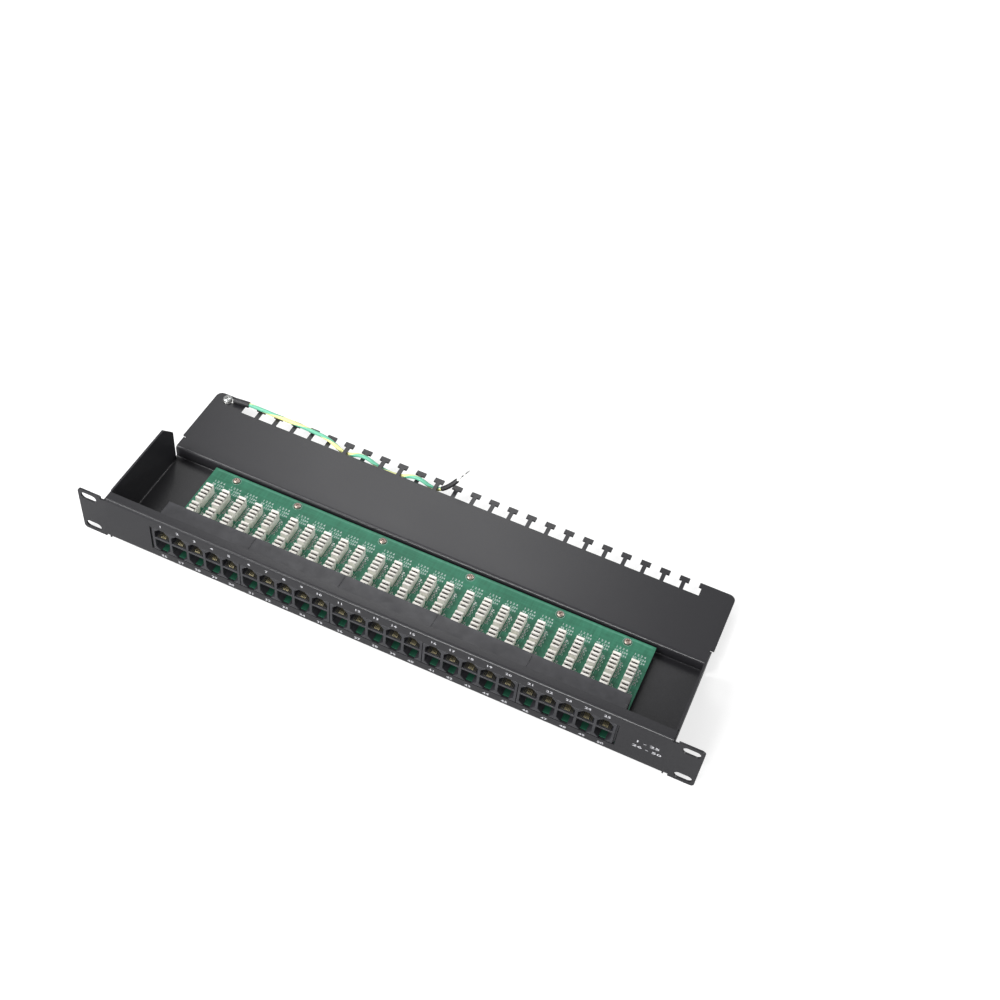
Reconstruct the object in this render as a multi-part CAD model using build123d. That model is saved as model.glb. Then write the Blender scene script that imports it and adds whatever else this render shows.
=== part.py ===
from build123d import *
import math
import os

# Telephone patch panel for a 19-inch rack: a folded steel sheet with fifty sockets in front,
# a circuit board with punch-down blocks behind them, and a comb of cable openings at the rear.
# Millimetres. X runs to the right as seen from the front, Y to the rear, Z up.
# The origin is the centre of the four rack slots, on the face of the ears that meets the rack.

# Sheet metal
SHEET = 1.5
BEND_INNER = 1.0
BEND_OUTER = BEND_INNER + SHEET

# Face and ears
PANEL_WIDTH = 482.6
PANEL_HEIGHT = 44.0
EAR_CORNER_R = 3.0
EAR_WIDTH = 19.0
SLOT_INSET = 8.75
SLOT_SPACING_Z = 31.75
SLOT_LENGTH = 13.0
SLOT_WIDTH = 6.8
RELIEF_DEPTH = 2.4
FLANGE_INSET = 0.6
FLANGE_DEPTH = 8.0

# Window in the face
WINDOW_END_GAP = 1.7
WINDOW_TOP_GAP = 0.3
WINDOW_BOTTOM_GAP = 0.6

# Floor, side walls, joggle and rear plate
BODY_GAP = 3.1
FLOOR_STRIP = 7.5
FLOOR_TOP = -20.2
WALL_REAR = 86.0
WALL_CHAMFER_Y = 11.0
WALL_CHAMFER_Z = 12.5
WALL_TAB = 14.0
WALL_TAB_DEPTH = 5.0
WALL_TAB_LAP = 0.5
CORNER_RELIEF = 4.0
JOGGLE_GAP = 3.0
JOGGLE_RISE = 10.2
PLATE_REAR = 156.2
PLATE_FLARE = 1.3
PLATE_SHOULDER = 11.5
PLATE_NOTCH = 1.6
PLATE_CORNER_R = 5.0

# Rear comb of T-shaped tabs
TAB_COUNT = 24
COMB_MARGIN = 24.625
TAB_NECK = 3.1
TAB_HEAD = 7.7
TAB_HEAD_DEPTH = 4.1
TAB_LENGTH = 12.1

# Sockets
GANGS = 5
PORTS = 5
PORT_PITCH = 14.0
GANG_EXTRA = 2.2
GANG_GAP = 0.4
PORT_WIDTH = 11.9
PORT_SIDE = 6.4
LATCH_HALF = 2.2
MID_WALL = 1.8
MID_WALL_Z = 0.9
PORT_DEPTH = 15.0
CABINET_TOP = 15.5
CABINET_REAR = 23.0
SEAT_GAP = 0.1

# Socket contacts
CONTACTS = 4
CONTACT_PITCH = 1.02
CONTACT_WIDTH = 0.45
CONTACT_THICK = 0.35
CONTACT_FRONT = 2.0
CONTACT_LIFT = 2.4

# Circuit board and its fixings
BOARD_MARGIN = 1.4
BOARD_FRONT = 0.5
BOARD_REAR = 86.9
BOARD_THICK = 1.6
STANDOFF_HEIGHT = 6.4
STANDOFF_FLATS = 5.5
SCREW_XS = (-161.0, -108.3, -36.1, 36.1, 108.3, 161.0)
SCREW_EDGE = 5.1
SCREW_R = 1.45
SCREW_HEAD_R = 2.7
SCREW_HEAD_HEIGHT = 1.9
THREAD_GAP = 0.05
HOLE_GAP = 0.15
SCREW_SIDES = 12

# Punch-down blocks
IDC_WAYS = 4
IDC_PITCH = 3.7
IDC_BAR = 1.9
IDC_WIDTH = 6.2
IDC_HEIGHT = 10.0
IDC_SLOT_DEPTH = 3.8
IDC_GAP = 3.2
IDC_REAR = 63.8

# Earth lead and its fixing
EARTH_INSET_X = 11.0
EARTH_INSET_Y = 5.7
EARTH_SCREW_R = 1.95
EARTH_HEAD_R = 3.6
EARTH_HEAD_HEIGHT = 2.5
EARTH_NUT_FLATS = 7.0
EARTH_NUT_HEIGHT = 3.2
EARTH_TAIL = 1.5
LUG_THICK = 0.8
LUG_R = 3.9
LUG_ANGLE = 5.8
FIXED_REACH = 5.5
FREE_REACH = 8.5
LUG_TONGUE_HALF = 1.9
WIRE_R = 1.6
SLEEVE_R = 2.4
SLEEVE_LENGTH = 13.3
SLEEVE_LIFT = 0.1
LEAD_START = 10.6
LEAD_SIDES = 8
FREE_LUG_EDGE = (-0.19, 0.62, -0.76)

# Places that follow from the sizes above
TOP = PANEL_HEIGHT / 2
FLOOR_UNDER = FLOOR_TOP - SHEET
PLATE_TOP = FLOOR_TOP + JOGGLE_RISE
EAR_INNER = PANEL_WIDTH / 2 - EAR_WIDTH
SLOT_SPACING_X = PANEL_WIDTH - 2 * SLOT_INSET
BODY_HALF = EAR_INNER - BODY_GAP
PLATE_HALF = BODY_HALF + PLATE_FLARE
TAB_PITCH = 2 * (PLATE_HALF - COMB_MARGIN) / (TAB_COUNT + 1)
EARTH_X = EARTH_INSET_X - PLATE_HALF
EARTH_Y = PLATE_REAR - EARTH_INSET_Y
JOGGLE_Y = WALL_REAR + JOGGLE_GAP
BOARD_UNDER = FLOOR_TOP + STANDOFF_HEIGHT
BOARD_TOP = BOARD_UNDER + BOARD_THICK
GANG_PITCH = PORTS * PORT_PITCH + GANG_EXTRA
GANG_HALF = (GANG_PITCH - GANG_GAP) / 2
GANG_XS = [(g - (GANGS - 1) / 2) * GANG_PITCH for g in range(GANGS)]
PORT_XS = [(p - (PORTS - 1) / 2) * PORT_PITCH for p in range(PORTS)]
CABINET_END = GANG_XS[-1] + GANG_HALF
BOARD_HALF = CABINET_END + BOARD_MARGIN
WINDOW_HALF = CABINET_END + WINDOW_END_GAP
UPPER_FLOOR = MID_WALL_Z + MID_WALL / 2
LOWER_ROOF = MID_WALL_Z - MID_WALL / 2
LATCH_SLOPE = PORT_WIDTH / 2 - LATCH_HALF
NOSE_TOP = UPPER_FLOOR + PORT_SIDE + LATCH_SLOPE
WINDOW_TOP = NOSE_TOP + WINDOW_TOP_GAP
WINDOW_BOTTOM = BOARD_TOP - WINDOW_BOTTOM_GAP
SCREW_Y = BOARD_REAR - SCREW_EDGE
BLOCK_LENGTH = IDC_WAYS * IDC_PITCH + IDC_BAR
IDC_TOP = BOARD_TOP + IDC_HEIGHT
IDC_SLOT_FLOOR = IDC_TOP - IDC_SLOT_DEPTH

# The earth lead's heights where it lies on the tabs, passes under them, and leaves the fixed sleeve
SLEEVE_AXIS = PLATE_TOP + SLEEVE_R + SLEEVE_LIFT
OVER = PLATE_TOP + WIRE_R
UNDER = PLATE_TOP - SHEET - WIRE_R


def from_earth(reach):
    """The point at a distance from the earth screw, in the direction in which its lug points."""
    angle = math.radians(LUG_ANGLE)
    return (EARTH_X + reach * math.cos(angle), EARTH_Y + reach * math.sin(angle), SLEEVE_AXIS)


def at_tab(number, inset, z):
    """The point at a tab's middle, or between two tabs, that far in front of the comb's rear edge."""
    return ((number - (TAB_COUNT + 1) / 2) * TAB_PITCH, PLATE_REAR - inset, z)


# The lead lies on four tabs, then goes over and under the next ones, as photographed.
# Its points stand out from the tabs by what the arcs at them cut off.
FIXED_SLEEVE = [from_earth(FIXED_REACH), from_earth(FIXED_REACH + SLEEVE_LENGTH)]
LEAD = [
    FIXED_SLEEVE[1],
    from_earth(FIXED_REACH + SLEEVE_LENGTH + LEAD_START),
    at_tab(2, 1.9, OVER + 0.3),
    at_tab(3, 1.7, OVER + 0.4),
    at_tab(4, 3.0, OVER + 0.4),
    at_tab(5, 6.6, OVER + 1.8),
    at_tab(6, 8.8, UNDER - 2.5),
    at_tab(7, 9.2, OVER + 2.5),
    at_tab(8, 8.9, UNDER - 1.7),
    at_tab(9, 9.2, UNDER - 1.7),
    at_tab(10, 9.2, OVER + 2.6),
    at_tab(10.94, 8.2, UNDER - 2.4),
    at_tab(11.62, 5.9, OVER - 0.1),
    at_tab(11.93, 1.2, OVER + 6.2),
]


def yz_face(points):
    """A flat face from (y, z) points, standing in the plane x = 0."""
    return make_face(Polyline(*[(0, y, z) for y, z in points], close=True))


def extrude_x(face, x0, x1):
    """The solid that a face in x = 0 sweeps from x0 to x1."""
    return Pos(x0, 0, 0) * extrude(face, amount=x1 - x0, dir=(1, 0, 0))


def block(x0, x1, y0, y1, z0, z1):
    """A box between two corners."""
    centre = ((x0 + x1) / 2, (y0 + y1) / 2, (z0 + z1) / 2)
    return Pos(*centre) * Box(x1 - x0, y1 - y0, z1 - z0)


def prism(x, y, z0, z1, radius):
    """An upright rod with a few flat sides, for screws and their holes."""
    return Pos(x, y, z0) * extrude(RegularPolygon(radius, SCREW_SIDES), amount=z1 - z0)


def save(name, shape):
    shape.label = name
    export_step(shape, f"parts/{name}.step")
    print(f"{name}: {len(shape.solids())} solids, {shape.volume:.1f} mm3")


def folded_section():
    """Section of the folded sheet: flange, face, floor, joggle and rear plate."""
    outer = FilletPolyline(
        (0, FLANGE_DEPTH - SHEET, TOP),
        (0, -SHEET, TOP),
        (0, -SHEET, FLOOR_UNDER),
        (0, JOGGLE_Y + SHEET, FLOOR_UNDER),
        (0, JOGGLE_Y + SHEET, PLATE_TOP - SHEET),
        (0, PLATE_REAR, PLATE_TOP - SHEET),
        radius=[BEND_OUTER, BEND_OUTER, BEND_OUTER, BEND_INNER],
    )
    inner = FilletPolyline(
        (0, FLANGE_DEPTH - SHEET, TOP - SHEET),
        (0, 0, TOP - SHEET),
        (0, 0, FLOOR_TOP),
        (0, JOGGLE_Y, FLOOR_TOP),
        (0, JOGGLE_Y, PLATE_TOP),
        (0, PLATE_REAR, PLATE_TOP),
        radius=[BEND_INNER, BEND_INNER, BEND_INNER, BEND_OUTER],
    )
    ends = [Line(outer @ 0, inner @ 0), Line(outer @ 1, inner @ 1)]
    return make_face([*outer.edges(), *inner.edges(), *ends])


def ear(side):
    """One ear, flat in the plane of the face, with its two rack slots."""
    x0, x1 = BODY_HALF - 1, PANEL_WIDTH / 2
    sheet = block(x0, x1, -SHEET, 0, -PANEL_HEIGHT / 2, TOP)
    corners = sheet.edges().filter_by(Axis.Y).group_by(Axis.X)[-1]
    sheet = fillet(corners, EAR_CORNER_R)
    for z in (-SLOT_SPACING_Z / 2, SLOT_SPACING_Z / 2):
        slot = Plane.XZ * Pos(SLOT_SPACING_X / 2, z) * SlotOverall(SLOT_LENGTH, SLOT_WIDTH)
        sheet -= extrude(slot, amount=2 * SHEET, both=True)
    return sheet if side > 0 else mirror(sheet, Plane.YZ)


def side_wall(side):
    """A wall bent up from the floor, with a tab bent in behind the face."""
    bend = FilletPolyline(
        (BODY_HALF - FLOOR_STRIP, 0, FLOOR_UNDER),
        (BODY_HALF, 0, FLOOR_UNDER),
        (BODY_HALF, 0, TOP),
        radius=BEND_OUTER,
    )
    inside = FilletPolyline(
        (BODY_HALF - FLOOR_STRIP, 0, FLOOR_TOP),
        (BODY_HALF - SHEET, 0, FLOOR_TOP),
        (BODY_HALF - SHEET, 0, TOP),
        radius=BEND_INNER,
    )
    ends = [Line(bend @ 0, inside @ 0), Line(bend @ 1, inside @ 1)]
    section = make_face([*bend.edges(), *inside.edges(), *ends])
    wall = extrude(section, amount=WALL_REAR, dir=(0, 1, 0))
    slope_y, slope_z = WALL_REAR - WALL_CHAMFER_Y, TOP - WALL_CHAMFER_Z
    beyond = WALL_REAR + 1
    over = TOP + 1
    slope = [(slope_y, TOP), (WALL_REAR, slope_z)]
    rear_cut = yz_face(slope + [(beyond, slope_z), (beyond, over), (slope_y, over)])
    wall -= extrude_x(rear_cut, BODY_HALF - 2 * SHEET, BODY_HALF + SHEET)
    # the front of the wall turns in behind the face
    plan_out = FilletPolyline(
        (BODY_HALF - WALL_TAB, 0, 0), (BODY_HALF, 0, 0), (BODY_HALF, WALL_TAB_DEPTH, 0), radius=BEND_OUTER
    )
    plan_in = FilletPolyline(
        (BODY_HALF - WALL_TAB, SHEET, 0), (BODY_HALF - SHEET, SHEET, 0),
        (BODY_HALF - SHEET, WALL_TAB_DEPTH, 0), radius=BEND_INNER,
    )
    plan_ends = [Line(plan_out @ 0, plan_in @ 0), Line(plan_out @ 1, plan_in @ 1)]
    tab_bottom = FLOOR_TOP + CORNER_RELIEF
    tab_face = Pos(0, 0, tab_bottom) * make_face([*plan_out.edges(), *plan_in.edges(), *plan_ends])
    tab = extrude(tab_face, amount=TOP - SHEET - tab_bottom, dir=(0, 0, 1))
    wall -= block(BODY_HALF - FLOOR_STRIP - 1, BODY_HALF + 1, -1, WALL_TAB_DEPTH, FLOOR_TOP, TOP + 1)
    wall -= block(BODY_HALF - SHEET - BEND_INNER, BODY_HALF + 1, -1, CORNER_RELIEF, FLOOR_UNDER - 1, TOP)
    wall += tab
    lap = (WALL_TAB_DEPTH - WALL_TAB_LAP, WALL_TAB_DEPTH + WALL_TAB_LAP)
    wall += block(BODY_HALF - SHEET, BODY_HALF, *lap, tab_bottom, TOP - SHEET)
    return wall if side > 0 else mirror(wall, Plane.YZ)


def cable_opening():
    """One opening of the rear comb in plan: wide between the necks, narrow between the heads."""
    floor = PLATE_REAR - TAB_LENGTH
    throat = PLATE_REAR - TAB_HEAD_DEPTH
    half = (TAB_PITCH - TAB_NECK) / 2
    mouth = (TAB_PITCH - TAB_HEAD) / 2
    points = [(-half, floor), (half, floor), (half, throat), (mouth, throat), (mouth, PLATE_REAR + 1),
              (-mouth, PLATE_REAR + 1), (-mouth, throat), (-half, throat)]
    return make_face(Polyline(*points, close=True))


def chassis():
    sheet = extrude_x(folded_section(), -BODY_HALF, BODY_HALF)
    # the rear plate is a little wider than the body, past a small notch
    shoulder = JOGGLE_Y + SHEET + PLATE_SHOULDER
    plate = block(-PLATE_HALF, PLATE_HALF, shoulder, PLATE_REAR, PLATE_TOP - SHEET, PLATE_TOP)
    corners = plate.edges().filter_by(Axis.Z).group_by(Axis.Y)[-1]
    plate = fillet(corners, PLATE_CORNER_R)
    end = BODY_HALF + 1
    sheet -= block(-end, end, shoulder, PLATE_REAR + 1, PLATE_TOP - 2 * SHEET, PLATE_TOP + 1)
    sheet += plate
    for side in (-1, 1):
        sheet += ear(side)
        sheet += side_wall(side)
        inner, outer = sorted((side * (BODY_HALF - FLANGE_INSET), side * EAR_INNER))
        sheet -= block(inner, outer, -2 * SHEET, FLANGE_DEPTH, TOP - RELIEF_DEPTH, TOP + 1)
        inner, outer = sorted((side * BODY_HALF, side * EAR_INNER))
        sheet -= block(inner, outer, -2 * SHEET, SHEET, -TOP - 1, RELIEF_DEPTH - TOP)
        x0, x1 = sorted((side * (BODY_HALF - PLATE_NOTCH), side * (PLATE_HALF + 1)))
        sheet -= block(x0, x1, shoulder - PLATE_NOTCH, shoulder, PLATE_TOP - 2 * SHEET, PLATE_TOP + 1)
    sheet -= block(-WINDOW_HALF, WINDOW_HALF, -2 * SHEET, SHEET, WINDOW_BOTTOM, WINDOW_TOP)
    first = -TAB_COUNT / 2 * TAB_PITCH
    openings = [Pos(first + k * TAB_PITCH, 0) * cable_opening() for k in range(TAB_COUNT + 1)]
    for face in openings:
        sheet -= Pos(0, 0, PLATE_TOP - 2 * SHEET) * extrude(face, amount=3 * SHEET, dir=(0, 0, 1))
    sheet -= prism(EARTH_X, EARTH_Y, PLATE_TOP - 2 * SHEET, PLATE_TOP + 1, EARTH_SCREW_R + HOLE_GAP)
    return sheet


def socket_face(edge_z, straight, up):
    """Front outline of a socket: straight sides, then two slopes to the latch's narrow end."""
    s = 1 if up else -1
    half = PORT_WIDTH / 2
    bend = edge_z + s * straight
    tip = edge_z + s * (straight + LATCH_SLOPE)
    right = [(half, edge_z), (half, bend), (LATCH_HALF, tip)]
    left = [(-x, z) for x, z in reversed(right)]
    return make_face(Polyline(*[(x, 0, z) for x, z in right + left], close=True))


def jack_block(gang_x):
    """A housing with two rows of sockets: the cabinet stands on the board, its nose fills the window."""
    body = block(-GANG_HALF, GANG_HALF, SEAT_GAP, CABINET_REAR, BOARD_TOP, CABINET_TOP)
    body += block(-GANG_HALF, GANG_HALF, -SHEET, SEAT_GAP, BOARD_TOP, NOSE_TOP)
    low_straight = LOWER_ROOF - BOARD_TOP - LATCH_SLOPE
    upper = socket_face(UPPER_FLOOR, PORT_SIDE, True)
    lower = socket_face(LOWER_ROOF, low_straight, False)
    for x in PORT_XS:
        for face in (upper, lower):
            body -= Pos(x, -SHEET, 0) * extrude(face, amount=PORT_DEPTH, dir=(0, 1, 0))
    return Pos(gang_x, 0, 0) * body


def jack_contacts(gang_x):
    """Spring contacts that slope away from the middle wall, towards the rear of each socket."""
    run = PORT_DEPTH - SHEET - CONTACT_FRONT
    strips = []
    for s in (1, -1):
        rear = CONTACT_FRONT + run
        root = [(CONTACT_FRONT, 0), (CONTACT_FRONT + CONTACT_THICK, 0)]
        tip = [(rear, s * CONTACT_LIFT), (rear, s * (CONTACT_LIFT + CONTACT_THICK))]
        side = yz_face(root + tip)
        strips.append(extrude_x(side, -CONTACT_WIDTH / 2, CONTACT_WIDTH / 2))
    up, down = strips
    pieces = []
    for x in PORT_XS:
        for k in range(CONTACTS):
            cx = gang_x + x + (k - (CONTACTS - 1) / 2) * CONTACT_PITCH
            pieces.append(Pos(cx, 0, UPPER_FLOOR) * up)
            pieces.append(Pos(cx, 0, LOWER_ROOF) * down)
    return Compound(children=pieces)


def idc_comb():
    """A punch-down block in side view: bars that stand up from a base, with slots between."""
    points = [(0, BOARD_TOP), (0, IDC_TOP)]
    for way in range(IDC_WAYS):
        y = IDC_BAR + way * IDC_PITCH
        points += [(y, IDC_TOP), (y, IDC_SLOT_FLOOR), (y + IDC_PITCH - IDC_BAR, IDC_SLOT_FLOOR),
                   (y + IDC_PITCH - IDC_BAR, IDC_TOP)]
    points += [(BLOCK_LENGTH, IDC_TOP), (BLOCK_LENGTH, BOARD_TOP)]
    return extrude_x(yz_face(points), -IDC_WIDTH / 2, IDC_WIDTH / 2)


def idc_starts():
    """Front edges of the two blocks of a column."""
    rear_block = IDC_REAR - BLOCK_LENGTH
    return (rear_block - IDC_GAP - BLOCK_LENGTH, rear_block)


def screw(x, y, seat, radius, head_r, head_height, length):
    """A screw with a plain shank of the given length under its head, both turned with a few flat sides."""
    return prism(x, y, seat - length, seat, radius) + prism(x, y, seat, seat + head_height, head_r)


def hexagon(x, y, z0, z1, flats):
    """An upright hexagonal prism."""
    return Pos(x, y, z0) * extrude(RegularPolygon(flats / 2, 6, major_radius=False), amount=z1 - z0)


def board():
    sheet = block(-BOARD_HALF, BOARD_HALF, BOARD_FRONT, BOARD_REAR, BOARD_UNDER, BOARD_TOP)
    for x in SCREW_XS:
        sheet -= prism(x, SCREW_Y, BOARD_UNDER - 1, BOARD_TOP + 1, SCREW_R + HOLE_GAP)
    return sheet


def standoffs():
    """Hexagonal posts between floor and board. Their tapped bores are closed where the shanks end."""
    return Compound(children=[hexagon(x, SCREW_Y, FLOOR_TOP, BOARD_UNDER, STANDOFF_FLATS) for x in SCREW_XS])


def ring_lug(reach):
    """A flat ring centred on its hole, with a tongue along +X that ends at the given reach."""
    tongue = Pos(reach / 2, 0, 0) * Box(reach, 2 * LUG_TONGUE_HALF, LUG_THICK)
    hole = Cylinder(EARTH_SCREW_R + HOLE_GAP, 4 * LUG_THICK)
    return Cylinder(LUG_R, LUG_THICK) + tongue - hole


def lead_radii():
    """The bend radius at each inner point: 0.45 of the shorter run over the tangent of half the turn."""
    radii = []
    for before, here, after in zip(LEAD, LEAD[1:], LEAD[2:]):
        run_in = Vector(*here) - Vector(*before)
        run_out = Vector(*after) - Vector(*here)
        half_turn = math.radians(run_in.get_angle(run_out)) / 2
        radii.append(0.45 * min(run_in.length, run_out.length) / math.tan(half_turn))
    return radii


def tube(points, radii, radius):
    """A plain tube of many flat sides along straight runs joined by arcs."""
    path = FilletPolyline(*points, radius=radii) if radii else Line(*points)
    section = Plane(origin=path @ 0, z_dir=path % 0) * RegularPolygon(radius, LEAD_SIDES)
    solid = sweep(section, path=path)
    ratio = solid.volume / (section.area * path.length)
    print(f"tube: length {path.length:.1f}, volume over section times length {ratio:.5f}")
    return solid


def earth_lead():
    """The wire, its two sleeves and its two ring lugs."""
    radii = lead_radii()
    print("lead radii", [round(r, 1) for r in radii])
    # the free sleeve starts halfway along the last run but one
    start = (Vector(*LEAD[-3]) + Vector(*LEAD[-2])) * 0.5
    save("earth_wire", tube([*LEAD[:-2], tuple(start)], radii[:-1], WIRE_R))
    save("earth_sleeve_free", tube([tuple(start), *LEAD[-2:]], radii[-1:], SLEEVE_R))
    save("earth_sleeve_fixed", tube(FIXED_SLEEVE, [], SLEEVE_R))
    seat = Pos(EARTH_X, EARTH_Y, PLATE_TOP + LUG_THICK / 2) * Rot(0, 0, LUG_ANGLE)
    save("earth_lug_fixed", seat * ring_lug(FIXED_REACH))
    # the free lug stands on its edge at the end of its sleeve
    out = (Vector(*LEAD[-1]) - Vector(*LEAD[-2])).normalized()
    across = out.cross(Vector(*FREE_LUG_EDGE)).normalized()
    centre = Vector(*LEAD[-1]) + out * FREE_REACH
    save("earth_lug_free", Plane(centre, x_dir=out * -1, z_dir=across) * ring_lug(FREE_REACH))
    print("free lug", centre, across)


def earth_fixing():
    """Screw and nut that hold the fixed lug to the plate."""
    seat = PLATE_TOP + LUG_THICK
    nut_top = PLATE_TOP - SHEET
    nut_under = nut_top - EARTH_NUT_HEIGHT
    length = seat - nut_under + EARTH_TAIL
    save("earth_screw", screw(EARTH_X, EARTH_Y, seat, EARTH_SCREW_R, EARTH_HEAD_R, EARTH_HEAD_HEIGHT, length))
    nut = hexagon(EARTH_X, EARTH_Y, nut_under, nut_top, EARTH_NUT_FLATS)
    save("earth_nut", nut - prism(EARTH_X, EARTH_Y, nut_under - 1, nut_top + 1, EARTH_SCREW_R + THREAD_GAP))


def main():
    os.makedirs("parts", exist_ok=True)
    save("chassis", chassis())
    save("circuit_board", board())
    save("board_standoffs", standoffs())
    size = (SCREW_R, SCREW_HEAD_R, SCREW_HEAD_HEIGHT, BOARD_THICK)
    save("board_screws", Compound(children=[screw(x, SCREW_Y, BOARD_TOP, *size) for x in SCREW_XS]))
    earth_fixing()
    earth_lead()
    comb = idc_comb()
    number = 0
    for g, gang_x in enumerate(GANG_XS, start=1):
        save(f"jack_block_{g}", jack_block(gang_x))
        save(f"jack_contacts_{g}", jack_contacts(gang_x))
        for x in PORT_XS:
            number += 1
            pair = [Pos(gang_x + x, start, 0) * comb for start in idc_starts()]
            save(f"idc_pair_{number:02d}", Compound(children=pair))


if __name__ == "__main__":
    main()
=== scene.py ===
"""A telephone patch panel for a 19-inch rack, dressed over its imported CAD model.

The folded sheet, the circuit board and the socket housings keep their CAD form and get a finish.
Punch-down blocks, contacts, screws, print, copper tracks and the earth lead are surfaces worked
out with numpy. Lengths in the tables below are millimetres in the part's frame: X to the right as
seen from the front, Y to the rear, Z up, with the origin midway between the rack slots.
"""

import logging
import math
from dataclasses import dataclass, field
from enum import Enum

import bmesh
import bpy
import numpy as np
from mathutils import Matrix, Vector

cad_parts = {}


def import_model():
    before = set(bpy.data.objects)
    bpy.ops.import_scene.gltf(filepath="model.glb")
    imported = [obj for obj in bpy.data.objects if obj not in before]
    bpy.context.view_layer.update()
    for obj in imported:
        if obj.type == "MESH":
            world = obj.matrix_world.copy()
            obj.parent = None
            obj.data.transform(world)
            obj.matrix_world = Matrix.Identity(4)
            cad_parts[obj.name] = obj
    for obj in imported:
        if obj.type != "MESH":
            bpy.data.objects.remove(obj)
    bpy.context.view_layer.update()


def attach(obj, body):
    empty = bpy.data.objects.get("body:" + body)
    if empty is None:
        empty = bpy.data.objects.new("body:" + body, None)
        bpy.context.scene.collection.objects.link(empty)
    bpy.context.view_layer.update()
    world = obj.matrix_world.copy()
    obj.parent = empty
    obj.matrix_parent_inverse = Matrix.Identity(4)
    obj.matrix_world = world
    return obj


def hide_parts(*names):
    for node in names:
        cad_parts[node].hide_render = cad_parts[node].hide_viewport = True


LOG = logging.getLogger("patch_panel")
MM = 0.001
BODY = "root"

Socket = bpy.types.NodeSocket
Material = bpy.types.Material
Object = bpy.types.Object
Point = tuple[float, float, float]

GANGS = 5
PORTS = 5
GANG_PITCH = 72.2
PORT_PITCH = 14.0
GANG_CENTRES = np.array([(g - 2) * GANG_PITCH for g in range(GANGS)])
PORT_CENTRES = np.array([[x + (p - 2) * PORT_PITCH for p in range(PORTS)] for x in GANG_CENTRES])
WAYS = 4
WAY_PITCH = 3.7
WAY_BAR = 1.9
FIRST_WAY = (WAY_PITCH + WAY_BAR) / 2
BLOCK_LENGTH = 16.7
BLOCK_STARTS = (27.2, 47.1)
BOARD_TOP = -12.2
FACE_FRONT = -1.5
PLATE_TOP = -10.0


class Facing(Enum):
    """The side that a flat print is read from."""

    FRONT = "front"
    TOP = "top"


class Row(Enum):
    """The two rows of sockets, with the sign of Z in which a socket opens from the middle wall."""

    UPPER = 1
    LOWER = -1


def along_x(xs: np.ndarray) -> np.ndarray:
    """Moves along X alone, one row for each number."""
    return np.stack([xs, np.zeros(len(xs)), np.zeros(len(xs))], -1)


def directions(path: np.ndarray) -> np.ndarray:
    """The unit direction at each point of a path, from the points before and after it."""
    along = np.gradient(path, axis=0)
    return along / np.linalg.norm(along, axis=1)[:, None]


def travelled(path: np.ndarray) -> np.ndarray:
    """The distance along a path at each of its points."""
    return np.concatenate([[0.0], np.cumsum(np.linalg.norm(np.diff(path, axis=0), axis=1))])


def read(rows: bpy.types.bpy_prop_collection, name: str, kind: type = np.int32, width: int = 1) -> np.ndarray:
    """One value of every row of a mesh's collection, as a flat array."""
    values = np.zeros(len(rows) * width, kind)
    rows.foreach_get(name, values)
    return values


def linked(name: str, data: bpy.types.ID) -> Object:
    """A new object with its data, in the scene's collection."""
    made = bpy.data.objects.new(name, data)
    bpy.context.scene.collection.objects.link(made)
    return made


def smooth_step(low: float, high: float, values: np.ndarray) -> np.ndarray:
    """Ease from 0 below low to 1 above high: the cubic 3t^2 - 2t^3 of the share of the way.

    Args:
        low: value at which the result leaves 0.
        high: value at which it reaches 1.
        values: numbers of any shape.

    Returns:
        Numbers from 0 to 1 in the same shape.
    """
    share = np.clip((values - low) / (high - low), 0.0, 1.0)
    return share * share * (3.0 - 2.0 * share)


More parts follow.
